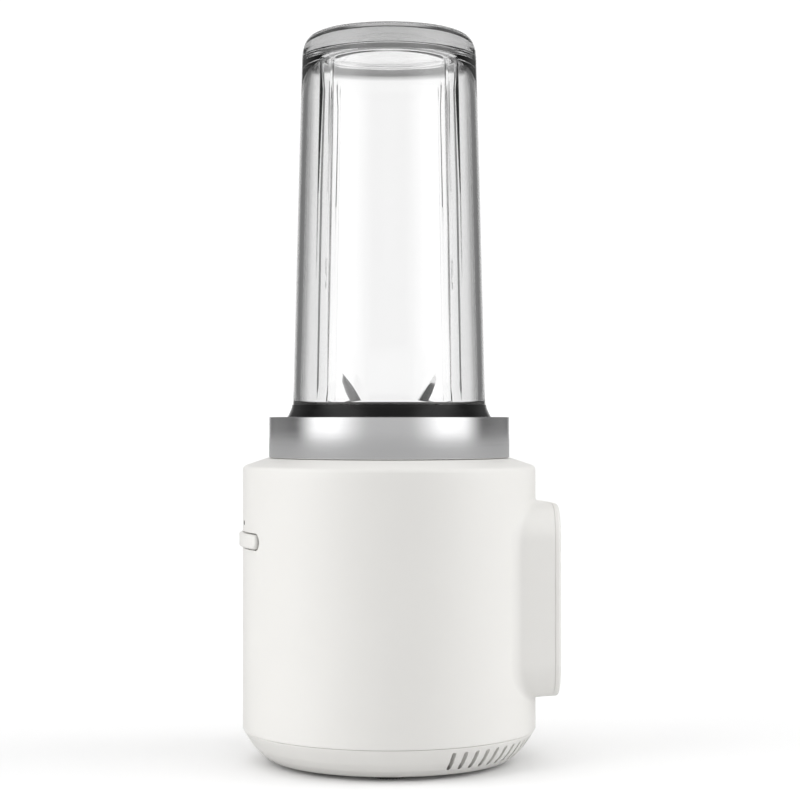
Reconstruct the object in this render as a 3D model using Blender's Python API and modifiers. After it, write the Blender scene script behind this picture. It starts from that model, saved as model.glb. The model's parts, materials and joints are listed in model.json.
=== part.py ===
"""A cordless countertop blender with an inverted personal jar, a motor base and a slide-in battery.

Everything is in metres, with +Z up. The origin is on the jar's axis at the height of the surface that
the feet stand on. The front, with the power button, faces -Y, and the battery slides out along +Y.
"""

import math

import bmesh
import bpy
from mathutils import Matrix, Vector

MM = 0.001
GAP = 0.3  # clearance between neighbouring pieces

# Driving dimensions, in millimetres.
BASE_R = 66.0  # motor housing, outside
WALL = 2.6
NECK_R = 52.7  # the neck that the trim band sleeves over
NECK_WALL = 2.4
PAN_BOTTOM_R = 54.2
PAN_BOTTOM_Z = 1.8
SEAM_Z = 14.9
SHOULDER_Z = 132.0
BAND_R = 54.2
BAND_BOTTOM_Z = 136.3
BAND_TOP_Z = 154.5
MOUTH_Z = 143.0  # the jar's open end, which faces down
JAR_TOP_Z = 326.6
JAR_WALL = 2.8
SKIRT_R = 46.4
SKIRT_BORE_R = 43.2
BAY_HALF_WIDTH = 38.6  # the battery bay's opening
BAY_BOTTOM_Z = 33.2
BAY_TOP_Z = 113.6
BAY_CORNER_R = 13.0
BOSS_ROOT_Y = 40.0
BOSS_CORNER_R = 16.0
BOSS_END_Y = 69.6  # where the boss's curved end crosses the middle
BOSS_END_R = 200.0  # that end's radius, about an upright axis
BATTERY_FRONT_Y = 38.0
BLADE_TURN = 12.0  # degrees that the blades stand turned from the X and Y planes
RIB_TURN = 33.0  # degrees from the front to the jar's first rib
FOOT_ANGLES = (0.0, 78.0, 180.0, 282.0)  # from the front, seen from above, anticlockwise
FOOT_RING_R = 43.0
SEGMENTS = 64


def clear_scene():
    for obj in list(bpy.data.objects):
        bpy.data.objects.remove(obj)


def collection(name):
    made = bpy.data.collections.new(name)
    bpy.context.scene.collection.children.link(made)
    return made


def material(name, colour, roughness, metallic=0.0, transmission=0.0):
    made = bpy.data.materials.new(name)
    made.use_nodes = True
    shader = made.node_tree.nodes["Principled BSDF"]
    shader.inputs["Base Color"].default_value = (*colour, 1.0)
    shader.inputs["Roughness"].default_value = roughness
    shader.inputs["Metallic"].default_value = metallic
    shader.inputs["Transmission Weight"].default_value = transmission
    return made


clear_scene()
PARTS = collection("cordless_blender")
CUTTERS = collection("cutters")

WHITE = material("white_plastic", (0.86, 0.85, 0.83), 0.42)
SATIN = material("satin_steel", (0.62, 0.62, 0.62), 0.28, 1.0)
CLEAR = material("clear_tritan", (0.96, 0.97, 0.97), 0.03, 0.0, 1.0)
BLACK = material("black_plastic", (0.02, 0.02, 0.02), 0.35)
GREY = material("dark_grey_plastic", (0.09, 0.09, 0.095), 0.5)
RUBBER = material("rubber", (0.16, 0.155, 0.15), 0.85)
STEEL = material("blade_steel", (0.75, 0.75, 0.75), 0.15, 1.0)
ZINC = material("zinc_steel", (0.55, 0.56, 0.58), 0.4, 1.0)
BRONZE = material("sintered_bronze", (0.55, 0.38, 0.2), 0.5, 1.0)
COPPER = material("copper_winding", (0.6, 0.28, 0.12), 0.4, 1.0)
CARBON = material("carbon", (0.05, 0.05, 0.05), 0.7)
MAGNET = material("ferrite", (0.1, 0.1, 0.1), 0.6)
BOARD = material("circuit_board", (0.03, 0.2, 0.09), 0.45)
CELL = material("cell_sleeve", (0.1, 0.3, 0.5), 0.4)
LENS = material("smoked_lens", (0.03, 0.03, 0.03), 0.1)
RED_WIRE = material("red_wire", (0.5, 0.04, 0.03), 0.5)


def from_bmesh(name, bm, finish, home=PARTS):
    """An object made from a bmesh whose coordinates are in millimetres."""
    bmesh.ops.recalc_face_normals(bm, faces=bm.faces)
    bmesh.ops.scale(bm, vec=(MM, MM, MM), verts=bm.verts)
    mesh = bpy.data.meshes.new(name)
    bm.to_mesh(mesh)
    bm.free()
    mesh.shade_smooth()
    mesh.set_sharp_from_angle(angle=math.radians(35))
    obj = bpy.data.objects.new(name, mesh)
    home.objects.link(obj)
    if home is CUTTERS:
        obj.hide_render = True
        obj.display_type = "WIRE"
    else:
        obj.data.materials.append(finish)
    return obj


def turned(name, profile, finish, segments=SEGMENTS, home=PARTS, closed=True):
    """A solid of revolution about Z. profile holds (radius, height) pairs; it is a closed loop, or an open
    line from axis to axis if closed is False."""
    bm = bmesh.new()
    verts = [bm.verts.new((r, 0.0, z)) for r, z in profile]
    edges = [bm.edges.new(pair) for pair in zip(verts, verts[1:])]
    if closed:
        edges.append(bm.edges.new((verts[-1], verts[0])))
    bmesh.ops.spin(
        bm, geom=verts + edges, cent=(0, 0, 0), axis=(0, 0, 1), angle=2 * math.pi, steps=segments,
        use_merge=True,
    )
    bmesh.ops.remove_doubles(bm, verts=bm.verts, dist=1e-4)
    return from_bmesh(name, bm, finish, home)


def prism_bmesh(outline, low, high, axis="Z", taper=1.0):
    """A flat outline of (u, v) pairs swept along an axis from low to high, the high end scaled by taper."""
    place = {
        "Z": lambda u, v, w: (u, v, w),
        "Y": lambda u, v, w: (u, w, v),
        "X": lambda u, v, w: (w, u, v),
    }[axis]
    mid_v = (max(v for _, v in outline) + min(v for _, v in outline)) / 2
    bm = bmesh.new()
    near = [bm.verts.new(place(u, v, low)) for u, v in outline]
    far = [bm.verts.new(place(u * taper, mid_v + (v - mid_v) * taper, high)) for u, v in outline]
    bm.faces.new(near)
    bm.faces.new(list(reversed(far)))
    count = len(outline)
    for i in range(count):
        j = (i + 1) % count
        bm.faces.new((near[i], far[i], far[j], near[j]))
    return bm


def rounded_rect(half_u, low_v, high_v, radius, steps=5):
    """The outline of a rectangle with round corners, anticlockwise."""
    centres = (
        (half_u - radius, low_v + radius, -90),
        (half_u - radius, high_v - radius, 0),
        (-half_u + radius, high_v - radius, 90),
        (-half_u + radius, low_v + radius, 180),
    )
    points = []
    for u, v, start in centres:
        for i in range(steps + 1):
            a = math.radians(start + 90 * i / steps)
            points.append((u + radius * math.cos(a), v + radius * math.sin(a)))
    return points


def boss_outline(y):
    """The battery boss's section at this depth: its sides draw in towards the rear."""
    back = y - BOSS_ROOT_Y
    return rounded_rect(48.45 - 0.114 * back, 30.4 + 0.01 * back, 117.1 - 0.036 * back, BOSS_CORNER_R)


def boss_end_y(x):
    return BOSS_END_Y - x * x / (2 * BOSS_END_R)


def beyond_boss_end():
    """The space behind the boss's curved end, as a cutter."""
    reach, back, steps = 60.0, 90.0, 30
    across = [reach * (2 * i / steps - 1) for i in range(steps + 1)]
    outline = [(reach, back), (-reach, back)] + [(x, boss_end_y(x)) for x in across]
    return prism_bmesh(outline, 10.0, 135.0)


def loft_bmesh(first, second, low, high):
    """Two outlines with as many points each, joined along Y."""
    bm = bmesh.new()
    near = [bm.verts.new((u, low, v)) for u, v in first]
    far = [bm.verts.new((u, high, v)) for u, v in second]
    bm.faces.new(near)
    bm.faces.new(list(reversed(far)))
    for i in range(len(near)):
        j = (i + 1) % len(near)
        bm.faces.new((near[i], far[i], far[j], near[j]))
    return bm


def ringed_bmesh(outline, rings):
    """A closed body of scaled copies of an outline. A ring is (share, offset, bend): its y is the
    offset plus bend times the boss's curved end."""
    outline = split_long_edges(outline, 8)
    mid = (max(v for _, v in outline) + min(v for _, v in outline)) / 2
    bm = bmesh.new()
    loops = []
    for share, offset, bend in rings:
        scaled = [(u * share, mid + (v - mid) * share) for u, v in outline]
        loops.append([bm.verts.new((x, offset + bend * boss_end_y(x), z)) for x, z in scaled])
    count = len(outline)
    for first, second in zip(loops, loops[1:]):
        for i in range(count):
            j = (i + 1) % count
            bm.faces.new((first[i], second[i], second[j], first[j]))
    for loop, (_, offset, bend) in ((loops[0], rings[0]), (loops[-1], rings[-1])):
        centre = bm.verts.new((0.0, offset + bend * BOSS_END_Y, mid))
        for i in range(count):
            bm.faces.new((centre, loop[i], loop[(i + 1) % count]))
    bmesh.ops.triangulate(bm, faces=bm.faces)
    return bm


def split_long_edges(outline, parts):
    """The outline with its level runs over 20 mm cut into parts, so that they can bend."""
    points = []
    for (u, v), (next_u, next_v) in zip(outline, outline[1:] + outline[:1]):
        pieces = parts if abs(next_u - u) > 20 else 1
        points += [(u + (next_u - u) * i / pieces, v + (next_v - v) * i / pieces) for i in range(pieces)]
    return points


def cylinder_bmesh(radius, low, high, at=(0.0, 0.0), segments=20, top_radius=None):
    bm = bmesh.new()
    bmesh.ops.create_cone(
        bm, cap_ends=True, segments=segments, radius1=radius,
        radius2=radius if top_radius is None else top_radius, depth=high - low,
    )
    bmesh.ops.translate(bm, vec=(at[0], at[1], (low + high) / 2), verts=bm.verts)
    return bm


def box_bmesh(low, high):
    bm = bmesh.new()
    bmesh.ops.create_cube(bm, size=1.0)
    size = [b - a for a, b in zip(low, high)]
    centre = [(a + b) / 2 for a, b in zip(low, high)]
    bmesh.ops.scale(bm, vec=size, verts=bm.verts)
    bmesh.ops.translate(bm, vec=centre, verts=bm.verts)
    return bm


def about_z(bm, degrees):
    """Turns a bmesh about the main axis."""
    turn = Matrix.Rotation(math.radians(degrees), 3, "Z")
    bmesh.ops.rotate(bm, verts=bm.verts, cent=(0, 0, 0), matrix=turn)
    return bm


def merged(bmeshes):
    """Several bmeshes as one, for a cutter with many separate bodies."""
    whole = bmesh.new()
    for bm in bmeshes:
        bmesh.ops.recalc_face_normals(bm, faces=bm.faces)
        mesh = bpy.data.meshes.new("piece")
        bm.to_mesh(mesh)
        bm.free()
        whole.from_mesh(mesh)
        bpy.data.meshes.remove(mesh)
    return whole


def combine(obj, tool, operation):
    modifier = obj.modifiers.new(operation.lower(), "BOOLEAN")
    modifier.operation = operation
    modifier.object = tool
    modifier.solver = "EXACT"
    return obj


def cut(obj, *bmeshes):
    for bm in bmeshes:
        combine(obj, from_bmesh(f"{obj.name}_cutter", bm, None, CUTTERS), "DIFFERENCE")
    return obj


def join(obj, *bmeshes):
    for bm in bmeshes:
        combine(obj, from_bmesh(f"{obj.name}_addition", bm, None, CUTTERS), "UNION")
    return obj


def polar(radius, degrees):
    """A point at this angle from the front (-Y), anticlockwise seen from above."""
    a = math.radians(degrees - 90)
    return radius * math.cos(a), radius * math.sin(a)


# ---------------------------------------------------------------- motor base: casings

SCREW_RING_R = 47.0
SCREW_ANGLES = (40.0, 132.0, 228.0, 320.0)
POST_TOP_Z = 26.0
BUTTON_HALF_WIDTH = 21.4
BUTTON_Z = 99.8
BUTTON_HALF_HEIGHT = 3.7
LED_Z = 107.4
LED_R = 1.1


def motor_housing():
    """The tall white shell, with its neck, its four screw posts and the walls of the battery bay."""
    inside = BASE_R - WALL
    neck_bore = NECK_R - NECK_WALL
    profile = [
        (BASE_R, SEAM_Z + GAP), (BASE_R, SHOULDER_Z - 1.8), (BASE_R - 0.5, SHOULDER_Z - 0.5),
        (BASE_R - 1.8, SHOULDER_Z + 0.5), (55.0, BAND_BOTTOM_Z - GAP), (NECK_R, BAND_BOTTOM_Z - GAP),
        (NECK_R, 152.4), (neck_bore, 152.4), (neck_bore, BAND_BOTTOM_Z - 2.6),
        (inside - 1.5, SHOULDER_Z - 2.4), (inside, SHOULDER_Z - 4.0), (inside, SEAM_Z + GAP),
    ]
    shell = turned("motor_housing", profile, WHITE)
    boss = loft_bmesh(boss_outline(BOSS_ROOT_Y), boss_outline(75.0), BOSS_ROOT_Y, 75.0)
    join(shell, boss)
    for angle in SCREW_ANGLES:
        x, y = polar(SCREW_RING_R, angle)
        join(shell, cylinder_bmesh(4.0, PAN_BOTTOM_Z + 2.4 + GAP, POST_TOP_Z, (x, y), 12))
        rib = box_bmesh(
            (-1.4, -(inside + 1.0), POST_TOP_Z - 5.4), (1.4, -(SCREW_RING_R - 1.0), POST_TOP_Z - 0.4)
        )
        join(shell, about_z(rib, angle))
    bay = prism_bmesh(
        rounded_rect(BAY_HALF_WIDTH, BAY_BOTTOM_Z, BAY_TOP_Z, BAY_CORNER_R), BOSS_ROOT_Y - 5, BASE_R + 14, "Y"
    )
    button_hole = prism_bmesh(
        rounded_rect(BUTTON_HALF_WIDTH, BUTTON_Z - BUTTON_HALF_HEIGHT, BUTTON_Z + BUTTON_HALF_HEIGHT, 3.6, 4),
        -BASE_R - 5, -50.0, "Y",
    )
    led_hole = prism_bmesh(
        [(1.4 * math.cos(a), LED_Z + 1.4 * math.sin(a)) for a in [i * math.pi / 6 for i in range(12)]],
        -BASE_R - 5, -50.0, "Y",
    )
    pilot_holes = merged(
        [cylinder_bmesh(1.7, 0.0, POST_TOP_Z - 3, polar(SCREW_RING_R, a), 10) for a in SCREW_ANGLES]
    )
    cut(shell, beyond_boss_end(), bay, button_hole, led_hole, pilot_holes)
    return shell


VENT_COUNT = 30
VENT_SPREAD = 76.6  # degrees either side of the rear
VENT_WIDTH = 2.2


def base_pan():
    """The bottom cover: a dish with a ring of cooling slots round its rear."""
    outer = [
        (BASE_R - 0.3, SEAM_Z), (BASE_R - 1.9, SEAM_Z - 2.8), (BASE_R - 4.4, SEAM_Z - 6.0),
        (BASE_R - 7.9, SEAM_Z - 9.6), (PAN_BOTTOM_R, PAN_BOTTOM_Z),
    ]
    inner = [
        (PAN_BOTTOM_R - 2.0, PAN_BOTTOM_Z + 2.4), (BASE_R - 7.6, SEAM_Z - 4.6), (BASE_R - 5.0, SEAM_Z - 1.0),
        (BASE_R - 5.0, 19.8), (BASE_R - WALL - GAP, 19.8), (BASE_R - WALL - GAP, SEAM_Z),
    ]
    profile = [*outer, (0.0, PAN_BOTTOM_Z), (0.0, PAN_BOTTOM_Z + 2.4), *inner]
    pan = turned("base_pan", profile, WHITE)
    slots = []
    for i in range(VENT_COUNT):
        angle = 180 - VENT_SPREAD + 2 * VENT_SPREAD * i / (VENT_COUNT - 1)
        slot = prism_bmesh(rounded_rect(VENT_WIDTH / 2, 4.6, 12.9, 0.9, 1), -BASE_R - 2, -52.0, "Y")
        slots.append(about_z(slot, angle))
    cut(pan, merged(slots))
    holes = [cylinder_bmesh(1.7, 0.0, 6.0, polar(SCREW_RING_R, a), 10) for a in SCREW_ANGLES]
    sinks = [cylinder_bmesh(3.2, 0.0, PAN_BOTTOM_Z + 1.7, polar(SCREW_RING_R, a), 12) for a in SCREW_ANGLES]
    recesses = [cylinder_bmesh(7.7, 0.0, PAN_BOTTOM_Z + 1.0, polar(FOOT_RING_R, a), 16) for a in FOOT_ANGLES]
    cut(pan, merged(holes), merged(sinks), merged(recesses))
    return pan


def trim_band():
    inner = NECK_R + GAP
    turned(
        "trim_band",
        [
            (BAND_R, BAND_BOTTOM_Z + 0.2), (BAND_R, BAND_TOP_Z - 0.3), (BAND_R - 0.3, BAND_TOP_Z),
            (inner, BAND_TOP_Z), (inner, BAND_BOTTOM_Z), (BAND_R - 0.2, BAND_BOTTOM_Z),
        ],
        SATIN,
    )


SEAT_FLOOR_Z = 139.0
MOUNT_ANGLES = (60.0, 180.0, 300.0)
MOUNT_RING_R = 34.0
PLUNGER_RING_R = 44.8


def jar_seat():
    """The well that the jar stands in, with a hole for the drive and one for the safety plunger."""
    outer = NECK_R - NECK_WALL - GAP
    inner = outer - 2.1
    floor_bottom = SEAT_FLOOR_Z - 2.4
    profile = [
        (NECK_R, 154.2), (inner, 154.2), (inner, SEAT_FLOOR_Z), (15.6, SEAT_FLOOR_Z), (15.6, 142.0),
        (13.6, 142.0), (13.6, floor_bottom), (outer, floor_bottom), (outer, 152.7), (NECK_R, 152.7),
    ]
    seat = turned("jar_seat", profile, GREY)
    for angle in MOUNT_ANGLES:
        join(seat, cylinder_bmesh(4.0, 127.3, floor_bottom + 1, polar(MOUNT_RING_R, angle), 12))
    pilots = [cylinder_bmesh(1.7, 126.0, 134.0, polar(MOUNT_RING_R, a), 10) for a in MOUNT_ANGLES]
    plunger_hole = cylinder_bmesh(2.1, 130.0, 141.0, polar(PLUNGER_RING_R, 0), 12)
    cut(seat, merged(pilots), plunger_hole)


def feet():
    for number, angle in enumerate(FOOT_ANGLES, 1):
        centre = polar(FOOT_RING_R, angle)
        foot = from_bmesh(f"foot_{number}", cylinder_bmesh(7.3, 0.0, PAN_BOTTOM_Z + 0.7, centre, 24), RUBBER)
        foot.modifiers.new("soft_edge", "BEVEL").width = 0.35 * MM


SCREW_HEAD = 1.3


def screw(name, centre, head_z, tip_z, head_r=2.8):
    """A pan-head screw that points up from head_z to tip_z, or down if tip_z is the lower."""
    step = SCREW_HEAD if tip_z > head_z else -SCREW_HEAD
    profile = [
        (0, head_z), (head_r, head_z), (head_r, head_z + step), (1.35, head_z + step), (1.35, tip_z),
        (0, tip_z),
    ]
    obj = turned(name, profile, ZINC, 10, closed=False)
    obj.location = (centre[0] * MM, centre[1] * MM, 0)
    return obj


def screws():
    for number, angle in enumerate(SCREW_ANGLES, 1):
        screw(f"pan_screw_{number}", polar(SCREW_RING_R, angle), PAN_BOTTOM_Z + 0.1, 18.0)
    for number, angle in enumerate(MOUNT_ANGLES, 1):
        screw(f"mount_screw_{number}", polar(MOUNT_RING_R, angle), 122.1, 132.0)
    for number, angle in enumerate((90.0, 270.0), 1):
        screw(f"motor_screw_{number}", polar(14.0, angle), 128.9, 117.5, 2.5)


# ---------------------------------------------------------------- motor base: drive

MOUNT_Z = 124.0
MOTOR_R = 23.0
MOTOR_BOTTOM_Z = 62.0
SHAFT_R = 2.5
BEARING_R = 7.9
LUG_HALF = 1.2  # half the width of a coupling lug: thin, so that the jar can twist without turning the motor


def motor_mount():
    plate = turned(
        "motor_mount", [(47.0, MOUNT_Z), (47.0, MOUNT_Z + 3), (9.0, MOUNT_Z + 3), (9.0, MOUNT_Z)], GREY, 32
    )
    holes = [cylinder_bmesh(1.7, 120.0, 130.0, polar(MOUNT_RING_R, a), 10) for a in MOUNT_ANGLES]
    holes += [cylinder_bmesh(1.7, 120.0, 130.0, polar(14.0, a), 10) for a in (90.0, 270.0)]
    holes += [box_bmesh((-7.0, -50.0, 120.0), (7.0, -40.5, 130.0))]
    cut(plate, merged(holes))


def motor():
    top = MOUNT_Z - GAP
    can = turned(
        "motor_can",
        [
            (MOTOR_R, 66.0), (MOTOR_R, top), (BEARING_R + GAP, top), (BEARING_R + GAP, top - 3.0),
            (MOTOR_R - 1.4, top - 3.0), (MOTOR_R - 1.4, 66.0),
        ],
        ZINC, 32,
    )
    cut(can, merged([cylinder_bmesh(1.7, 115.0, 125.0, polar(14.0, a), 10) for a in (90.0, 270.0)]))
    turned(
        "motor_end_cap",
        [
            (MOTOR_R, MOTOR_BOTTOM_Z), (MOTOR_R, 65.7), (BEARING_R + GAP, 65.7),
            (BEARING_R + GAP, MOTOR_BOTTOM_Z),
        ],
        BLACK, 32,
    )
    for name, low in (("bearing_lower", 62.2), ("bearing_upper", top - 3.2)):
        turned(
            name,
            [(BEARING_R, low), (BEARING_R, low + 3.2), (SHAFT_R + 0.1, low + 3.2), (SHAFT_R + 0.1, low)],
            ZINC, 24,
        )
    for name, sign in (("magnet_left", -1), ("magnet_right", 1)):
        profile = [(MOTOR_R - 1.7, 78.0), (MOTOR_R - 1.7, 112.0), (17.0, 112.0), (17.0, 78.0)]
        ring = turned(name, profile, MAGNET, 32)
        far = -30.0 * sign
        cut(ring, box_bmesh((min(far, 6.0 * sign), -30, 70), (max(far, 6.0 * sign), 30, 120)))
        brush_low, brush_high = sorted((6.6 * sign, 13.0 * sign))
        side = name.split("_")[1]
        from_bmesh(f"brush_{side}", box_bmesh((brush_low, -2.5, 69.0), (brush_high, 2.5, 75.0)), CARBON)


def rotor():
    turned("motor_shaft", [(0, 46.5), (SHAFT_R, 46.5), (SHAFT_R, 136.5), (0, 136.5)], STEEL, 16, closed=False)
    bore = SHAFT_R + GAP
    turned(
        "armature",
        [
            (bore, 80.0), (12.0, 80.0), (13.0, 83.0), (15.4, 83.0), (15.4, 108.0), (13.0, 108.0),
            (12.0, 111.0), (bore, 111.0),
        ],
        COPPER, 24,
    )
    turned("commutator", [(bore, 68.0), (6.2, 68.0), (6.2, 77.0), (bore, 77.0)], COPPER, 20)
    disc = [(bore, 48.0), (21.0, 48.0), (21.0, 49.5), (6.0, 49.5), (6.0, 57.5), (bore, 57.5)]
    fan = turned("cooling_fan", disc, BLACK, 24)
    for i in range(9):
        vane = box_bmesh((-0.6, 5.6, 48.6), (0.6, 20.4, 57.0))
        join(fan, about_z(vane, 40.0 * i))
    coupling = turned(
        "drive_coupling",
        [
            (bore, 129.6), (5.5, 129.6), (5.5, 135.0), (12.6, 135.0), (12.6, 138.1), (0, 138.1),
            (0, 136.8), (bore, 136.8),
        ],
        BLACK, 32,
    )
    for i in range(4):
        join(coupling, about_z(box_bmesh((-LUG_HALF, 6.8, 137.5), (LUG_HALF, 11.2, 140.8)), 90.0 * i + 45))


# ---------------------------------------------------------------- motor base: electrics

def electrics():
    from_bmesh("control_board", box_bmesh((-19.0, -56.6, 86.0), (19.0, -55.0, 113.0)), BOARD)
    from_bmesh("button_switch", box_bmesh((-3.5, -60.4, BUTTON_Z - 3.0), (3.5, -56.9, BUTTON_Z + 3.0)), BLACK)
    led = turned("led_lens", [(0, -7.0), (LED_R, -7.0), (LED_R, 0), (0, 0)], LENS, 16, closed=False)
    led.rotation_euler = (math.radians(90), 0, 0)
    led.location = (0, -(BASE_R + 0.1) * MM, LED_Z * MM)
    switch_centre = polar(PLUNGER_RING_R, 0)
    x, y = switch_centre
    from_bmesh("interlock_switch", box_bmesh((x - 5.5, y - 2.6, 120.0), (x + 5.5, y + 3.6, 129.4)), BLACK)
    plunger = turned(
        "interlock_plunger",
        [(0, 129.7), (2.9, 129.7), (2.9, 131.0), (1.7, 131.0), (1.7, 139.1), (0, 139.1)],
        GREY, 12, closed=False,
    )
    plunger.location = (x * MM, y * MM, 0)
    dock = from_bmesh("dock_terminal_block", box_bmesh((-22.0, 30.0, 98.0), (22.0, 37.4, 113.0)), BLACK)
    for x in (-12.0, 0.0, 12.0):
        join(dock, box_bmesh((x - 2.2, 36.0, 108.6), (x + 2.2, 46.0, 109.4)))


def wire(name, points, finish, radius=1.1):
    """A lead along a smooth line through these points."""
    knots = [Vector(p) for p in points]
    curve = bpy.data.curves.new(name, "CURVE")
    curve.dimensions = "3D"
    curve.bevel_depth = radius * MM
    curve.bevel_resolution = 1
    curve.use_fill_caps = True
    spline = curve.splines.new("POLY")
    line = []
    for i in range(len(knots) - 1):
        before, a, b, after = (knots[max(0, min(len(knots) - 1, i + k))] for k in (-1, 0, 1, 2))
        for s in (0.0, 0.2, 0.4, 0.6, 0.8):
            line.append(
                0.5 * (2 * a + (b - before) * s + (2 * before - 5 * a + 4 * b - after) * s * s
                       + (3 * a - before - 3 * b + after) * s ** 3)
            )
    line.append(knots[-1])
    spline.points.add(len(line) - 1)
    for point, at in zip(spline.points, line):
        point.co = (*(at * MM), 1.0)
    obj = bpy.data.objects.new(name, curve)
    PARTS.objects.link(obj)
    curve.materials.append(finish)
    return obj


def wires():
    power_route = [
        (-18, 28.6, 103), (-22, 24, 98), (-28, 12, 90), (-28, 0, 80), (-26, -3, 72), (-24.4, -4, 67),
    ]
    signal_route = [
        (18, 28.6, 103), (27, 20, 108), (31, 0, 109), (28, -25, 106), (22, -44, 103), (12, -53.4, 101),
    ]
    wire("battery_lead", power_route, RED_WIRE)
    wire("signal_lead", signal_route, BLACK)


# ---------------------------------------------------------------- button

def power_button():
    """The pill-shaped button. Its face follows the housing and stands 2.2 mm proud of it."""
    face_r = BASE_R + 2.2
    half = BUTTON_HALF_WIDTH - 0.5
    tall = BUTTON_HALF_HEIGHT - 0.5
    button = from_bmesh(
        "power_button",
        prism_bmesh(rounded_rect(half, BUTTON_Z - tall, BUTTON_Z + tall, tall - 0.1, 4), -75.0, -50.0, "Y"),
        WHITE,
    )
    layer = turned(
        "button_layer", [(face_r, 80), (face_r, 120), (61.6, 120), (61.6, 80)], None, SEGMENTS * 2, CUTTERS
    )
    combine(button, layer, "INTERSECT")
    cut(button, box_bmesh((-30, -50, 80), (30, 80, 120)))
    return button


# ---------------------------------------------------------------- battery

TRAY_HALF_WIDTH = 36.4
TRAY_BOTTOM_Z = 34.0
TRAY_TOP_Z = 112.0
COVER_Y = 62.0
CELL_R = 9.1
RELEASE_Z = 103.0
PORT_Z = 43.0


def battery_cover():
    """The battery's white cap, curved like the boss's end, with a plug that enters the bay."""
    outer = (
        (0.3, GAP, 1), (0.65, GAP, 1), (1.0, GAP, 1), (1.0, 1.1, 1), (0.99, 1.5, 1), (0.97, 1.85, 1),
        (0.93, 2.05, 1), (0.65, 2.1, 1), (0.3, 2.1, 1),
    )
    cover = from_bmesh("battery_cover", ringed_bmesh(boss_outline(66.0), outer), WHITE)
    plug = rounded_rect(BAY_HALF_WIDTH - 0.5, BAY_BOTTOM_Z + 0.5, BAY_TOP_Z - 0.5, BAY_CORNER_R - 0.5)
    inner = ((0.5, COVER_Y, 0), (1.0, COVER_Y, 0), (1.0, 1.2, 1), (0.65, 1.2, 1), (0.3, 1.2, 1))
    join(cover, ringed_bmesh(plug, inner))
    release = prism_bmesh(rounded_rect(9.4, RELEASE_Z - 4.4, RELEASE_Z + 4.4, 4.3, 4), 55.0, 80.0, "Y")
    port = prism_bmesh(rounded_rect(4.9, PORT_Z - 2.0, PORT_Z + 2.0, 1.9, 4), 55.0, 80.0, "Y")
    cut(cover, release, port)


def battery():
    battery_cover()
    tray = from_bmesh(
        "battery_tray",
        prism_bmesh(
            rounded_rect(TRAY_HALF_WIDTH, TRAY_BOTTOM_Z, TRAY_TOP_Z, 11.0, 4),
            BATTERY_FRONT_Y, COVER_Y - GAP, "Y",
        ),
        GREY,
    )
    hollow = prism_bmesh(
        rounded_rect(TRAY_HALF_WIDTH - 1.6, TRAY_BOTTOM_Z + 1.6, TRAY_TOP_Z - 1.6, 9.4, 4),
        BATTERY_FRONT_Y + 1.6, COVER_Y + 5, "Y",
    )
    slots = [box_bmesh((x - 2.8, 30, 107.9), (x + 2.8, 45, 110.1)) for x in (-12.0, 0.0, 12.0)]
    cut(tray, hollow, merged(slots))
    for number, x in enumerate((-19.0, 0.0, 19.0), 1):
        from_bmesh(f"battery_cell_{number}", cylinder_bmesh(CELL_R, 38.0, 103.0, (x, 50.0), 16), CELL)
    from_bmesh("battery_board", box_bmesh((-23.0, 47.5, 104.2), (23.0, 58.0, 105.6)), BOARD)
    port = from_bmesh(
        "charge_port",
        prism_bmesh(rounded_rect(4.5, PORT_Z - 1.65, PORT_Z + 1.65, 1.6, 4), 61.0, 71.2, "Y"),
        ZINC,
    )
    cut(port, prism_bmesh(rounded_rect(4.1, PORT_Z - 1.25, PORT_Z + 1.25, 1.2, 4), 62.0, 74.0, "Y"))
    join(port, box_bmesh((-3.2, 61.5, PORT_Z - 0.35), (3.2, 70.2, PORT_Z + 0.35)))
    from_bmesh(
        "battery_release_button",
        prism_bmesh(rounded_rect(8.9, RELEASE_Z - 3.9, RELEASE_Z + 3.9, 3.8, 4), 62.4, 71.6, "Y", 0.97), GREY,
    )


# ---------------------------------------------------------------- jar and blades

def jar():
    """The clear inverted jar. Its closed end is up, and a skirt at its mouth drops into the seat."""
    outer = [
        (SKIRT_R, MOUTH_Z), (SKIRT_R, 153.0), (45.4, 155.2), (44.0, 158.6), (43.3, 165.0), (41.2, 252.7),
        (39.9, 297.9), (39.5, 316.0), (38.6, 321.0), (36.8, 324.4), (34.0, JAR_TOP_Z), (30.4, JAR_TOP_Z),
        (28.2, 324.2), (0.0, 323.2),
    ]
    inner = [
        (0.0, 314.4), (26.0, 313.4), (33.0, 309.0), (36.6, 300.0), (38.2, 252.7), (40.4, 166.0),
        (40.6, 161.6), (SKIRT_BORE_R, 161.2), (SKIRT_BORE_R, MOUTH_Z),
    ]
    vessel = turned("jar", [*outer, *inner], CLEAR)
    for i in range(4):
        rib = bmesh.new()
        corners = (
            (36.4, 304.0, 1.2), (38.5, 304.0, 1.2), (41.6, 163.4, 2.2), (36.6, 163.4, 1.2),
        )
        left = [rib.verts.new((-half, -r, z)) for r, z, half in corners]
        right = [rib.verts.new((half, -r, z)) for r, z, half in corners]
        rib.faces.new(left)
        rib.faces.new(list(reversed(right)))
        for a in range(4):
            b = (a + 1) % 4
            rib.faces.new((left[a], right[a], right[b], left[b]))
        join(vessel, about_z(rib, RIB_TURN + 90.0 * i))


def lock_ring():
    """The ring under the blade base, which turns with it when the jar is twisted home."""
    ring = turned("lock_ring", [(39.4, 139.3), (39.4, 142.0), (31.0, 142.0), (31.0, 139.3)], BLACK, 36)
    for i in range(3):
        join(ring, about_z(box_bmesh((-4.0, 33.0, 141.5), (4.0, 36.5, 147.0)), 120.0 * i + 60))


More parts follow.
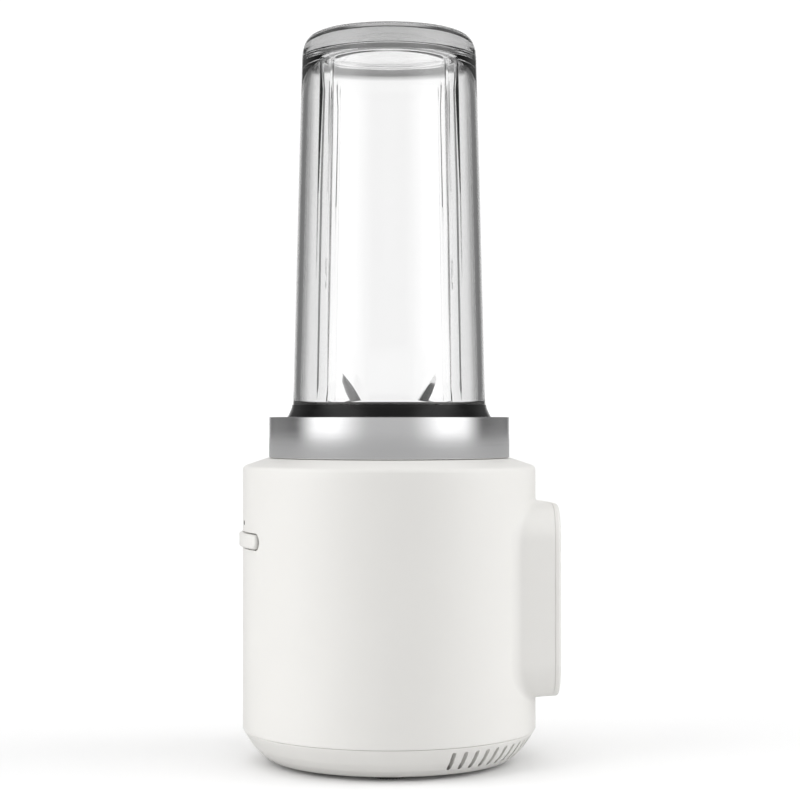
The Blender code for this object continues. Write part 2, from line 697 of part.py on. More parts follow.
def blade_base():
    """The black base that screws into the jar's mouth and carries the blade spindle."""
    wall = 42.4
    profile = [
        (SKIRT_R - 0.2, 139.4), (SKIRT_R - 0.2, 142.4), (wall, 142.6), (wall, 149.6), (42.9, 150.4),
        (wall, 151.2), (wall, 159.0), (40.0, 159.0), (40.0, 160.4), (38.0, 160.4), (34.6, 154.6),
        (30.0, 152.0), (13.0, 151.0), (9.6, 152.0), (8.4, 155.9), (4.4, 155.9), (4.4, 143.6), (8.0, 143.6),
        (9.0, 147.4), (30.0, 149.2), (40.0, 149.2), (40.0, 139.4),
    ]
    turned("blade_base", profile, BLACK, 48)
    turned("jar_gasket", [(40.3, 159.3), (42.8, 159.3), (42.8, 160.9), (40.3, 160.9)], RUBBER, 48)
    for name, low, high in (("bushing_lower", 143.9, 148.0), ("bushing_upper", 151.6, 155.7)):
        turned(name, [(3.1, low), (4.1, low), (4.1, high), (3.1, high)], BRONZE, 20)
    turned("spindle_seal", [(3.15, 148.6), (4.1, 148.6), (4.1, 151.0), (3.15, 151.0)], RUBBER, 20)


BLADE_THICK = 1.2


def blade(name, stations, plate_z, turn):
    """A blade stamped from strip: a flat middle with an arm at each end. stations run along the arm from the
    hub as (distance, rise, leading edge offset, trailing edge offset, how far the leading edge runs ahead)."""
    half_turn = Matrix.Rotation(math.pi, 3, "Z")
    points = []
    for d, rise, lead, trail, ahead in stations:
        z = plate_z + rise
        points.append((Vector((d + ahead, lead, z)), Vector((d - ahead, -trail, z))))
    mirrored = [(half_turn @ a, half_turn @ b) for a, b in points]
    path = [(b, a) for a, b in reversed(mirrored)] + points
    bm = bmesh.new()
    top = [(bm.verts.new(a), bm.verts.new(b)) for a, b in path]
    down = Vector((0, 0, -BLADE_THICK))
    low = [(bm.verts.new(a + down), bm.verts.new(b + down)) for a, b in path]
    for i in range(len(path) - 1):
        bm.faces.new((top[i][0], top[i][1], top[i + 1][1], top[i + 1][0]))
        bm.faces.new((low[i][0], low[i + 1][0], low[i + 1][1], low[i][1]))
        bm.faces.new((top[i][0], top[i + 1][0], low[i + 1][0], low[i][0]))
        bm.faces.new((top[i][1], low[i][1], low[i + 1][1], top[i + 1][1]))
    for i in (0, -1):
        bm.faces.new((top[i][0], top[i][1], low[i][1], low[i][0]))
    about_z(bm, turn)
    obj = from_bmesh(name, bm, STEEL)
    cut(obj, cylinder_bmesh(3.0 + GAP, plate_z - 5, plate_z + 5, segments=16))
    return obj


def blades():
    turned(
        "blade_spindle",
        [
            (0, 142.0), (3.0, 142.0), (3.0, 160.7), (4.6, 160.7), (4.6, 161.1), (4.0, 161.5), (0, 161.5),
        ],
        STEEL, 16, closed=False,
    )
    up_arm = (
        (2.0, 0, 4.6, 4.6, 0), (7.0, 0, 4.8, 4.8, 0.6), (11.5, 0, 4.6, 4.6, 1.8), (13.2, 0.6, 4.6, 4.4, 2.0),
        (15.2, 3.0, 4.3, 4.0, 2.2), (17.6, 6.8, 3.6, 3.2, 2.0), (19.8, 10.6, 2.4, 2.0, 1.3),
        (21.1, 13.8, 0.4, 0.3, 0),
    )
    blade("blade_upper", up_arm, 160.4, BLADE_TURN + 66)
    down_arm = (
        (2.0, 0, 5.0, 5.0, 0), (8.0, 0, 5.0, 5.0, 0), (10.0, -0.6, 4.8, 4.8, 0), (17.0, -3.4, 3.8, 3.8, 0),
        (22.5, -5.0, 0.6, 0.6, 0),
    )
    blade("blade_lower", down_arm, 158.9, BLADE_TURN - 15)
    turned("thrust_washer", [(3.3, 156.3), (5.4, 156.3), (5.4, 157.2), (3.3, 157.2)], BRONZE, 20)
    collar = [(3.3, 141.5), (11.4, 141.5), (11.4, 143.2), (3.3, 143.2)]
    coupling = turned("driven_coupling", collar, BLACK, 32)
    for i in range(4):
        join(coupling, about_z(box_bmesh((-LUG_HALF, 6.8, 138.5), (LUG_HALF, 11.0, 142.5)), 90.0 * i))


motor_housing()
base_pan()
trim_band()
jar_seat()
feet()
screws()
motor_mount()
motor()
rotor()
electrics()
wires()
power_button()
battery()
jar()
lock_ring()
blade_base()
blades()
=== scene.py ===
"""The looks of the cordless blender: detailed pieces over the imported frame, materials, light and camera."""

import json
import math

import bmesh
import bpy
import numpy as np
from mathutils import Matrix, Vector

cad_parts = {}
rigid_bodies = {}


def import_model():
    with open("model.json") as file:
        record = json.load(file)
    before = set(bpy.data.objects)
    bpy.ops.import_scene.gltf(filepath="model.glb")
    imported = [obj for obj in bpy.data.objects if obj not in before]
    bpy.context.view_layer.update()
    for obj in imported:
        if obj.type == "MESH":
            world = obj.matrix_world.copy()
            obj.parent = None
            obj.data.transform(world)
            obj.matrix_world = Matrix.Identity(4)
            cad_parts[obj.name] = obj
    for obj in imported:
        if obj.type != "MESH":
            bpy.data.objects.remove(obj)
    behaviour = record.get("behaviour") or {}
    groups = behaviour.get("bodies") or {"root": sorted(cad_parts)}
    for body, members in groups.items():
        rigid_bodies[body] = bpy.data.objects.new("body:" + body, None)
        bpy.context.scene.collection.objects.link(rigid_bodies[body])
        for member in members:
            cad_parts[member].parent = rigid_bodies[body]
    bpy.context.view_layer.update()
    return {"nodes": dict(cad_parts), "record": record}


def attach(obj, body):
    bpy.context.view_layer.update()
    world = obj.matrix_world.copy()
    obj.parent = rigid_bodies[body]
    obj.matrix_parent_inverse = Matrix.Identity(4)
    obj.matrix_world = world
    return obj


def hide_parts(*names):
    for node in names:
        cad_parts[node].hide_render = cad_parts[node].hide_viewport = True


MM = 0.001

# The camera stands this many degrees round from the front, level with the top of the trim band.
CAMERA_TURN = 78.0
CAMERA_DISTANCE = 0.8596  # metres
CAMERA_HEIGHT = 0.1547
CAMERA_LENS = 85.5
CAMERA_SHIFT = (0.0135, 0.0206)

# Sizes in millimetres and turns in degrees, the same as the frame's nodes have.
BASE_R = 66.0
SEAM_Z = 14.9
SHOULDER_Z = 132.4
BAND_BOTTOM_Z = 136.3
BAND_TOP_Z = 154.5
BAND_R = 54.2
BAY_HALF_WIDTH = 38.6
BAY_BOTTOM_Z = 33.2
BAY_TOP_Z = 113.6
BAY_CORNER_R = 13.0
WALL_INSIDE_R = 63.4
BOSS_ROOT_Y = 40.0
BOSS_ROOT_HALF_WIDTH = 48.45
BOSS_ROOT_BOTTOM_Z = 30.4
BOSS_ROOT_TOP_Z = 117.1
BOSS_DRAFTS = (0.114, 0.01, 0.036)  # how fast its side, bottom and top draw in with depth
BOSS_PAST_Y = 75.0  # the boss is shaped to here, then cut to its curved end
BOSS_CORNER_R = 16.0
BOSS_END_Y = 69.6
BOSS_END_R = 200.0
BOSS_FILLET = 2.0
FOOT_RING_R = 43.0
FOOT_ANGLES = (0.0, 78.0, 180.0, 282.0)
VENT_COUNT = 30
VENT_SPREAD = 76.6
SCREW_RING_R = 47.0
SCREW_ANGLES = (40.0, 132.0, 228.0, 320.0)
BUTTON_Z = 99.8
BUTTON_HALF_WIDTH = 20.9
BUTTON_HALF_HEIGHT = 3.2
BUTTON_FACE_R = 67.6
LED_Z = 107.4
LED_HOLE_R = 1.4
RELEASE_Z = 103.0
PORT_Z = 43.0
COVER_Y = 62.0
COVER_DEPTH = 2.8
RIB_TURN = 33.0
RIB_COUNT = 4
RIB_HEIGHT = 1.3
UPPER_BLADE_TURN = 78.0
LOWER_BLADE_TURN = -3.0
UPPER_BLADE_Z = 160.4
LOWER_BLADE_Z = 158.9

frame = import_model()


# ---------------------------------------------------------------- mesh helpers

def finished(name, bm, finish, body, replaced=(), sharp=32.0):
    """A piece from a bmesh in millimetres, smooth apart from edges sharper than this, riding on a body."""
    bmesh.ops.recalc_face_normals(bm, faces=bm.faces)
    bmesh.ops.scale(bm, vec=(MM, MM, MM), verts=bm.verts)
    mesh = bpy.data.meshes.new(name)
    bm.to_mesh(mesh)
    bm.free()
    obj = bpy.data.objects.new(name, mesh)
    bpy.context.scene.collection.objects.link(obj)
    obj.data.materials.append(finish)
    shade(obj, sharp)
    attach(obj, body)
    if replaced:
        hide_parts(*replaced)
    return obj


def shade(obj, sharp):
    """Smooth shading, with edges sharper than this many degrees kept."""
    obj.data.shade_smooth()
    obj.data.set_sharp_from_angle(angle=math.radians(sharp))


def filleted(corners, steps=5):
    """A closed outline of (u, v, radius) corners with each corner rounded to its radius."""
    points = []
    count = len(corners)
    for i, (u, v, radius) in enumerate(corners):
        here = Vector((u, v))
        if radius <= 0:
            points.append((u, v))
            continue
        back = Vector(corners[i - 1][:2]) - here
        ahead = Vector(corners[(i + 1) % count][:2]) - here
        half = back.angle(ahead) / 2
        run = min(radius / math.tan(half), 0.49 * back.length, 0.49 * ahead.length)
        start = here + back.normalized() * run
        end = here + ahead.normalized() * run
        centre = here + (back.normalized() + ahead.normalized()).normalized() * (run / math.cos(half))
        swing = (start - centre).angle_signed(end - centre)
        for k in range(steps + 1):
            points.append(tuple(centre + Matrix.Rotation(-swing * k / steps, 2) @ (start - centre)))
    return points


def lathe(profile, segments=144, radius_at=None, angles=None):
    """A bmesh turned about Z from a closed (radius, height) outline. radius_at(angle, r, z) may change a
    radius, for ribs and bosses."""
    bm = bmesh.new()
    if angles is None:
        angles = [2 * math.pi * i / segments for i in range(segments)]
    rings = []
    for r, z in profile:
        if r <= 1e-6:
            rings.append([bm.verts.new((0, 0, z))] * len(angles))
            continue
        ring = []
        for a in angles:
            rr = radius_at(a, r, z) if radius_at else r
            ring.append(bm.verts.new((rr * math.cos(a), rr * math.sin(a), z)))
        rings.append(ring)
    count = len(angles)
    for first, second in zip(rings, rings[1:] + rings[:1]):
        for i in range(count):
            j = (i + 1) % count
            corners = []
            for v in (first[i], first[j], second[j], second[i]):
                if v not in corners:
                    corners.append(v)
            if len(corners) > 2:
                bm.faces.new(corners)
    return bm


def rounded_rect(half_u, low_v, high_v, radius, steps=8):
    """The outline of a rectangle with round corners, anticlockwise."""
    corners = (
        (half_u - radius, low_v + radius, -90), (half_u - radius, high_v - radius, 0),
        (radius - half_u, high_v - radius, 90), (radius - half_u, low_v + radius, 180),
    )
    points = []
    for u, v, start in corners:
        for i in range(steps + 1):
            a = math.radians(start + 90 * i / steps)
            points.append((u + radius * math.cos(a), v + radius * math.sin(a)))
    return points


def loft(loops):
    """A closed bmesh skinned over closed loops of 3-D points, all with the same count."""
    bm = bmesh.new()
    rings = [[bm.verts.new(p) for p in loop] for loop in loops]
    count = len(rings[0])
    for first, second in zip(rings, rings[1:]):
        for i in range(count):
            j = (i + 1) % count
            bm.faces.new((first[i], first[j], second[j], second[i]))
    bm.faces.new(rings[0])
    bm.faces.new(rings[-1])
    return bm


def box_bmesh(low, high):
    """A box between two corners."""
    bm = bmesh.new()
    bmesh.ops.create_cube(bm, size=1.0)
    bmesh.ops.scale(bm, vec=[b - a for a, b in zip(low, high)], verts=bm.verts)
    bmesh.ops.translate(bm, vec=[(a + b) / 2 for a, b in zip(low, high)], verts=bm.verts)
    return bm


def turned_by(bm, degrees):
    matrix = Matrix.Rotation(math.radians(degrees), 3, "Z")
    bmesh.ops.rotate(bm, verts=bm.verts, cent=(0, 0, 0), matrix=matrix)
    return bm


def moved_by(bm, x, y, z=0.0):
    bmesh.ops.translate(bm, vec=(x, y, z), verts=bm.verts)
    return bm


def disc(radius, low, high, centre=(0.0, 0.0), segments=32):
    """An upright cylinder between two heights."""
    bm = bmesh.new()
    bmesh.ops.create_cone(
        bm, cap_ends=True, segments=segments, radius1=radius, radius2=radius, depth=high - low,
    )
    return moved_by(bm, *centre, (low + high) / 2)


def along_y(outline, stations):
    """Loops of an (x, z) outline at each (y, share) station, scaled about the outline's middle."""
    mid = (max(v for _, v in outline) + min(v for _, v in outline)) / 2
    return [[(u * s, y, mid + (v - mid) * s) for u, v in outline] for y, s in stations]


def bar_along_y(outline, start, end):
    """A straight bar of an (x, z) outline between two depths."""
    return loft(along_y(outline, [(start, 1.0), (end, 1.0)]))


def cut(obj, cutters, operation="DIFFERENCE", sharp=32.0):
    """Cuts these bmeshes, in millimetres, from a piece at once, and keeps the piece's shading."""
    helpers = bpy.data.collections.new("helpers")
    bpy.context.scene.collection.children.link(helpers)
    for bm in cutters:
        bmesh.ops.recalc_face_normals(bm, faces=bm.faces)
        bmesh.ops.scale(bm, vec=(MM, MM, MM), verts=bm.verts)
        mesh = bpy.data.meshes.new("helper")
        bm.to_mesh(mesh)
        bm.free()
        helpers.objects.link(bpy.data.objects.new("helper", mesh))
    modifier = obj.modifiers.new("cut", "BOOLEAN")
    modifier.operation = operation
    modifier.operand_type = "COLLECTION"
    modifier.collection = helpers
    modifier.solver = "EXACT"
    bpy.context.view_layer.update()
    evaluated = obj.evaluated_get(bpy.context.evaluated_depsgraph_get())
    mesh = bpy.data.meshes.new_from_object(evaluated)
    obj.modifiers.remove(modifier)
    for helper in list(helpers.objects):
        bpy.data.objects.remove(helper)
    bpy.data.collections.remove(helpers)
    obj.data = mesh
    shade(obj, sharp)
    return obj


def polar(radius, degrees):
    """A point this far round from the front (-Y), anticlockwise seen from above."""
    a = math.radians(degrees - 90)
    return radius * math.cos(a), radius * math.sin(a)


# ---------------------------------------------------------------- materials

WRAP_RADIUS = 0.05  # metres, near enough the band's
JAR_ABSORPTION = 10.0  # per metre


def node(tree, kind, values=(), **settings):
    """A new shader node with its settings, then its sockets' values."""
    made = tree.nodes.new(kind)
    for key, value in settings.items():
        setattr(made, key, value)
    for socket, value in dict(values).items():
        made.inputs[socket].default_value = value
    return made


def noise_on(tree, vector, scale, detail=3.0, roughness=0.55):
    """Noise read at this vector."""
    made = node(tree, "ShaderNodeTexNoise", {"Scale": scale, "Detail": detail, "Roughness": roughness})
    tree.links.new(vector, made.inputs["Vector"])
    return made.outputs["Fac"]


def ranged(tree, value, low, high, from_low=0.3, from_high=0.7):
    """A value carried from one range to another and held at its ends."""
    made = node(
        tree, "ShaderNodeMapRange",
        {"From Min": from_low, "From Max": from_high, "To Min": low, "To Max": high},
    )
    tree.links.new(value, made.inputs["Value"])
    return made.outputs["Result"]


def round_axis(tree, vector):
    """Coordinates wrapped round the Z axis: arc length at the band's radius, then height, in metres."""
    parts = node(tree, "ShaderNodeSeparateXYZ")
    tree.links.new(vector, parts.inputs[0])
    angle = node(tree, "ShaderNodeMath", operation="ARCTAN2")
    tree.links.new(parts.outputs["Y"], angle.inputs[0])
    tree.links.new(parts.outputs["X"], angle.inputs[1])
    arc = node(tree, "ShaderNodeMath", {1: WRAP_RADIUS}, operation="MULTIPLY")
    tree.links.new(angle.outputs[0], arc.inputs[0])
    joined = node(tree, "ShaderNodeCombineXYZ")
    tree.links.new(arc.outputs[0], joined.inputs["X"])
    tree.links.new(parts.outputs["Z"], joined.inputs["Z"])
    return joined.outputs[0]


def stretched(tree, vector, scale):
    """The vector scaled by these factors."""
    made = node(tree, "ShaderNodeMapping", {"Scale": scale})
    tree.links.new(vector, made.inputs["Vector"])
    return made.outputs[0]


def surface(
    name, colour, roughness, metallic=0.0, mottle=0.03, mottle_scale=14.0, grain=2600.0,
    grain_height=0.00002, rough_spread=0.05, brushed=None, around=False, **constants,
):
    """A procedural material: colour with a faint mottle, uneven roughness and a fine grain in the normal.
    brushed stretches the grain by these factors, around Z if around is set. The other keywords are
    shader sockets, with underscores for spaces."""
    made = bpy.data.materials.new(name)
    made.use_nodes = True
    tree = made.node_tree
    shader = tree.nodes["Principled BSDF"]
    shader.inputs["Metallic"].default_value = metallic
    for socket, value in constants.items():
        shader.inputs[socket.replace("_", " ")].default_value = value
    place = node(tree, "ShaderNodeTexCoord").outputs["Object"]
    grain_place = round_axis(tree, place) if around else place
    if brushed:
        grain_place = stretched(tree, grain_place, brushed)
    broad = noise_on(tree, place, mottle_scale)
    mix = node(tree, "ShaderNodeMix", data_type="RGBA")
    mix.inputs["A"].default_value = (*[c * (1 - mottle) for c in colour], 1)
    mix.inputs["B"].default_value = (*[min(1.0, c * (1 + mottle)) for c in colour], 1)
    tree.links.new(ranged(tree, broad, 0.0, 1.0), mix.inputs["Factor"])
    tree.links.new(mix.outputs["Result"], shader.inputs["Base Color"])
    fine = noise_on(tree, grain_place, grain, 2.0)
    uneven = noise_on(tree, grain_place, grain * 0.12, 4.0)
    spread = ranged(tree, uneven, max(0.0, roughness - rough_spread), roughness + rough_spread)
    tree.links.new(spread, shader.inputs["Roughness"])
    bump = node(tree, "ShaderNodeBump", {"Strength": 1.0, "Distance": grain_height})
    tree.links.new(fine, bump.inputs["Height"])
    tree.links.new(bump.outputs["Normal"], shader.inputs["Normal"])
    return made


def tint_through(finish, density):
    """Darkens what is seen through a long way of this clear material, as the real plastic does."""
    tree = finish.node_tree
    tint = node(tree, "ShaderNodeVolumeAbsorption", {"Color": (0.0, 0.0, 0.0, 1), "Density": density})
    tree.links.new(tint.outputs["Volume"], tree.nodes["Material Output"].inputs["Volume"])


WHITE = surface(
    "white_plastic", (0.80, 0.79, 0.765), 0.44, mottle=0.012, grain=1800.0, grain_height=0.000012,
)
SATIN = surface(
    "satin_steel", (0.78, 0.78, 0.785), 0.22, 1.0, mottle=0.015, mottle_scale=30.0, grain=260.0,
    grain_height=0.0000025, rough_spread=0.03, brushed=(0.12, 1.0, 24.0), around=True,
)
CLEAR = surface(
    "clear_tritan", (0.99, 0.99, 0.99), 0.003, mottle=0.003, mottle_scale=20.0, grain=18.0,
    grain_height=0.000004, rough_spread=0.002, Transmission_Weight=1.0, IOR=1.52,
)
tint_through(CLEAR, JAR_ABSORPTION)
BLACK = surface(
    "black_plastic", (0.008, 0.008, 0.008), 0.2, mottle=0.2, grain=1500.0, grain_height=0.000002,
    Specular_IOR_Level=0.3,
)
GREY = surface(
    "dark_grey_plastic", (0.055, 0.055, 0.058), 0.5, mottle=0.1, grain=1100.0, grain_height=0.00004,
)
RUBBER = surface(
    "rubber", (0.11, 0.108, 0.105), 0.8, mottle=0.12, mottle_scale=90.0, grain=900.0, grain_height=0.00005,
)
STEEL = surface(
    "blade_steel", (0.80, 0.80, 0.80), 0.14, 1.0, mottle=0.02, grain=500.0, grain_height=0.000008,
    rough_spread=0.04, brushed=(0.3, 6.0, 6.0),
)
ZINC = surface("zinc_steel", (0.52, 0.53, 0.55), 0.38, 1.0, mottle=0.1, mottle_scale=160.0, grain=700.0)
BRONZE = surface(
    "sintered_bronze", (0.50, 0.33, 0.16), 0.5, 1.0, mottle=0.15, mottle_scale=400.0, grain=1500.0,
)
COPPER = surface(
    "copper_winding", (0.62, 0.27, 0.12), 0.35, 0.9, mottle=0.1, grain=400.0, grain_height=0.0003,
    brushed=(6.0, 1.0, 0.4), around=True,
)
CARBON = surface("carbon", (0.035, 0.035, 0.036), 0.65, mottle=0.2, mottle_scale=500.0, grain=1800.0)
FERRITE = surface("ferrite", (0.07, 0.07, 0.072), 0.55, mottle=0.2, mottle_scale=300.0, grain=1400.0)
BOARD = surface("circuit_board", (0.02, 0.16, 0.07), 0.4, mottle=0.35, mottle_scale=420.0, grain=600.0)
CELL = surface("cell_sleeve", (0.05, 0.22, 0.45), 0.32, mottle=0.06, mottle_scale=60.0, grain=500.0)
LENS = surface("smoked_lens", (0.02, 0.02, 0.022), 0.08, mottle=0.1, grain=400.0, grain_height=0.000004)
RED_WIRE = surface("red_wire", (0.45, 0.03, 0.02), 0.45, mottle=0.1, mottle_scale=200.0)
# Painted shade: a near-black ring behind the vent slots stands in for the shadow inside the white pan.
VENT_SHADE = surface("vent_painted_shade", (0.02, 0.02, 0.021), 0.7, mottle=0.3, mottle_scale=700.0, grain=900.0)

SLOT_FINISHES = {
    "white_plastic": WHITE, "satin_steel": SATIN, "clear_tritan": CLEAR, "black_plastic": BLACK,
    "dark_grey_plastic": GREY, "rubber": RUBBER, "blade_steel": STEEL, "zinc_steel": ZINC,
    "sintered_bronze": BRONZE, "copper_winding": COPPER, "carbon": CARBON, "ferrite": FERRITE,
    "circuit_board": BOARD, "cell_sleeve": CELL, "smoked_lens": LENS, "red_wire": RED_WIRE,
}


def finish_frame_nodes():
    """Gives every node of the frame the procedural finish of its slot."""
    slots = {s["node"]: s["material_slot"] for s in frame["record"]["subparts"]}
    for name, obj in frame["nodes"].items():
        obj.data.materials.clear()
        obj.data.materials.append(SLOT_FINISHES[slots[name]])


# ---------------------------------------------------------------- motor base

def smooth_step(low, high, value):
    """0 below low, 1 above high and smooth between."""
    t = np.clip((value - low) / (high - low), 0, 1)
    return t * t * (3 - 2 * t)


def boss_section(y):
    """Half width, bottom and top of the battery boss at this depth."""
    back = y - BOSS_ROOT_Y
    side, bottom, top = BOSS_DRAFTS
    half = BOSS_ROOT_HALF_WIDTH - side * back
    return half, BOSS_ROOT_BOTTOM_Z + bottom * back, BOSS_ROOT_TOP_Z - top * back


def boss_end_y(x):
    """The depth of the boss's curved end, this far from its middle."""
    return BOSS_END_Y - x * x / (2 * BOSS_END_R)


def boss_radii(angles, heights):
    """The housing's outer radius at each height and angle: a cylinder with the battery boss blended in.
    Each is the last radius, on a fine scale, where both shapes' signed distances blend to zero."""
    step = 0.2
    radii = np.arange(64.0, 92.0, step)
    a = np.array(angles)[None, :, None]
    z = np.array(heights)[:, None, None]
    r = radii[None, None, :]
    x, y = np.abs(r * np.cos(a)), r * np.sin(a)
    half, low, high = boss_section(np.clip(y, BOSS_ROOT_Y, BOSS_PAST_Y))
    u = x - (half - BOSS_CORNER_R)
    v = np.abs(z - (low + high) / 2) - ((high - low) / 2 - BOSS_CORNER_R)
    side = np.hypot(np.maximum(u, 0), np.maximum(v, 0)) + np.minimum(np.maximum(u, v), 0) - BOSS_CORNER_R
    start_y = 20.0
    boss = np.maximum(np.maximum(side, y - BOSS_PAST_Y), start_y - y)
    wall = np.broadcast_to(r - BASE_R, boss.shape)
    s, t = np.maximum(BOSS_FILLET - wall, 0), np.maximum(BOSS_FILLET - boss, 0)
    both = np.maximum(BOSS_FILLET, np.minimum(wall, boss)) - np.hypot(s, t)
    inside = both <= 0
    last = inside.shape[2] - 1 - np.argmax(inside[:, :, ::-1], axis=2)
    last = np.minimum(last, len(radii) - 2)
    before = np.take_along_axis(both, last[:, :, None], 2)[:, :, 0]
    after = np.take_along_axis(both, last[:, :, None] + 1, 2)[:, :, 0]
    return radii[last] + step * np.clip(-before / (after - before), 0, 1)


def beyond_boss_end():
    """The space behind the boss's curved end, as a cutter."""
    reach, back = 60.0, 95.0
    outline = [(reach, back), (-reach, back)] + [(x, boss_end_y(x)) for x in np.linspace(-reach, reach, 97)]
    return loft([[(x, y, z) for x, y in outline] for z in (10.0, 135.0)])


def spaced(*spans):
    """Values over spans of (start, end, step), without the last end."""
    values = []
    for start, end, step in spans:
        count = max(1, round((end - start) / step))
        values += [start + (end - start) * i / count for i in range(count)]
    return values


def motor_housing():
    """The white shell, with the boss on its rear wall, and holes for the battery, the button and the
    indicator. Its points crowd together where the boss leaves the wall."""
    rear = spaced((0, 30, 1.0), (30, 50, 0.35), (50, 60, 1.0), (60, 180, 3.0))
    degrees = [90 + d for d in rear] + [90 - d for d in reversed(rear[1:])]
    degrees.insert(len(rear), 270.0)
    angles = [math.radians(d) for d in degrees]
    outline = filleted(
        [
            (BASE_R, SEAM_Z + 0.15, 0.15), (BASE_R, SHOULDER_Z, 2.2), (55.2, 136.0, 0.6), (52.7, 136.0, 0),
            (52.7, 152.4, 0.3), (50.3, 152.4, 0.3), (50.3, 133.7, 1.0), (61.9, 129.6, 1.0),
            (WALL_INSIDE_R, 127.6, 1.0), (WALL_INSIDE_R, SEAM_Z + 0.15, 0.15),
        ], 4,
    )
    boss_low = 17.0
    heights = spaced(
        (boss_low, 27.0, 1.8), (27.0, 34.0, 0.35), (34.0, 47.0, 0.8), (47.0, 100.0, 3.0),
        (100.0, 113.0, 0.8), (113.0, 121.0, 0.3), (121.0, 129.0, 1.6),
    )
    first_wall = max(i for i, (r, z) in enumerate(outline) if abs(r - BASE_R) < 1e-6 and z < boss_low)
    profile = outline[: first_wall + 1] + [(BASE_R, z) for z in heights] + outline[first_wall + 1:]
    radii = dict(zip(heights, boss_radii(angles, heights)))
    column = {a: i for i, a in enumerate(angles)}

    def radius_at(a, r, z):
        return float(radii[z][column[a]]) if z in radii and r > WALL_INSIDE_R else r

    housing = finished(
        "housing_shell", lathe(profile, radius_at=radius_at, angles=angles), WHITE, "base",
        ["motor_housing"],
    )
    bay = bar_along_y(bay_outline(0.0), 36.0, 90.0)
    half, tall = BUTTON_HALF_WIDTH + 0.6, BUTTON_HALF_HEIGHT + 0.55
    button_hole = bar_along_y(
        rounded_rect(half, BUTTON_Z - tall, BUTTON_Z + tall, tall - 0.05, 8), -76.0, -50.0,
    )
    turns = np.linspace(0, 2 * math.pi, 24, endpoint=False)
    ring = [(LED_HOLE_R * math.cos(a), LED_Z + LED_HOLE_R * math.sin(a)) for a in turns]
    led_hole = bar_along_y(ring, -76.0, -50.0)
    cut(housing, [beyond_boss_end()])
    cut(housing, [bay, button_hole, led_hole])


def bay_outline(inset, steps=10):
    """The battery bay's outline, drawn in by this much."""
    return rounded_rect(
        BAY_HALF_WIDTH - inset, BAY_BOTTOM_Z + inset, BAY_TOP_Z - inset, BAY_CORNER_R - inset, steps,
    )


def bay_liner():
    """The dark box that lines the battery bay, open at the back."""
    outer = bay_outline(0.2)
    inner = bay_outline(1.3)
    loops = along_y(outer, [(36.4, 1.0), (60.8, 1.0)]) + along_y(inner, [(60.8, 1.0), (37.4, 1.0)])
    liner = finished("battery_bay_liner", loft(loops), GREY, "base")
    slots = [box_bmesh((x - 2.6, 30.0, 107.6), (x + 2.6, 40.0, 110.4)) for x in (-12.0, 0.0, 12.0)]
    cut(liner, slots)


def base_pan():
    """The shallow pan under the housing: vent slots round its rear, and recesses for feet and screws."""
    outline = filleted(
        [
            (BASE_R - 0.1, SEAM_Z, 0.2), (BASE_R - 1.0, 13.4, 2.0), (BASE_R - 2.4, 11.2, 6.0),
            (BASE_R - 4.6, 7.9, 8.0), (BASE_R - 7.6, 4.7, 6.0), (54.6, 1.8, 1.2), (51.0, 1.8, 0),
            (20.0, 1.8, 0), (0.0, 1.8, 0), (0.0, 4.2, 0), (20.0, 4.2, 0), (53.4, 4.2, 1.0), (57.4, 8.4, 2.0),
            (60.6, 13.2, 1.0), (61.0, 19.8, 0.3), (63.1, 19.8, 0.3), (63.1, SEAM_Z, 0.0),
        ], 4,
    )
    pan = finished("pan_shell", lathe(outline, 192), WHITE, "base", ["base_pan"])
    tools = []
    for i in range(VENT_COUNT):
        angle = 180 - VENT_SPREAD + 2 * VENT_SPREAD * i / (VENT_COUNT - 1)
        tools.append(turned_by(bar_along_y(rounded_rect(1.05, 4.5, 12.9, 1.0, 4), -70.0, -54.0), angle))
    for angle in FOOT_ANGLES:
        tools.append(disc(7.7, -1.0, 2.8, polar(FOOT_RING_R, angle), 40))
    for angle in SCREW_ANGLES:
        tools.append(disc(3.4, -1.0, 3.5, polar(SCREW_RING_R, angle), 28))
        tools.append(disc(1.8, 3.0, 6.0, polar(SCREW_RING_R, angle), 20))
    cut(pan, tools)


def vent_painted_shade():
    """A dark ring behind the vent slots: painted shade, standing in for the shadow inside the white pan seen
    through them.
    """
    outline = filleted(
        [(60.4, 13.6, 0.2), (57.0, 8.8, 0.5), (53.2, 4.6, 0.2), (52.0, 5.0, 0.2), (59.6, 13.8, 0.2)], 2,
    )
    finished("vent_painted_shade", lathe(outline, 96), VENT_SHADE, "base")


def feet():
    """Round feet with a notched lower edge."""
    outline = filleted(
        [
            (6.9, 0.0, 0.25), (7.15, 1.1, 0.1), (7.3, 1.3, 0.1), (7.3, 2.5, 0.2), (0.0, 2.5, 0),
            (0.0, 0.35, 0), (5.4, 0.35, 0.2), (5.6, 0.0, 0.2),
        ], 2,
    )
    notches, depth = 28, 0.45

    def notch(a, r, z):
        return r - (depth if z < 1.05 and r > 6.5 and math.sin(a * notches) < 0 else 0.0)

    for number, angle in enumerate(FOOT_ANGLES, 1):
        foot = moved_by(lathe(outline, 4 * notches, notch), *polar(FOOT_RING_R, angle))
        finished(f"foot_pad_{number}", foot, RUBBER, "base", [f"foot_{number}"])


def trim_band():
    """The satin metal band between the housing and the jar."""
    inside_r = BAND_R - 1.2
    outline = filleted(
        [
            (BAND_R, BAND_BOTTOM_Z, 0.35), (BAND_R, BAND_TOP_Z, 0.35), (inside_r, BAND_TOP_Z, 0.15),
            (inside_r, BAND_BOTTOM_Z, 0.1),
        ], 4,
    )
    finished("trim_ring", lathe(outline, 192), SATIN, "base", ["trim_band"])


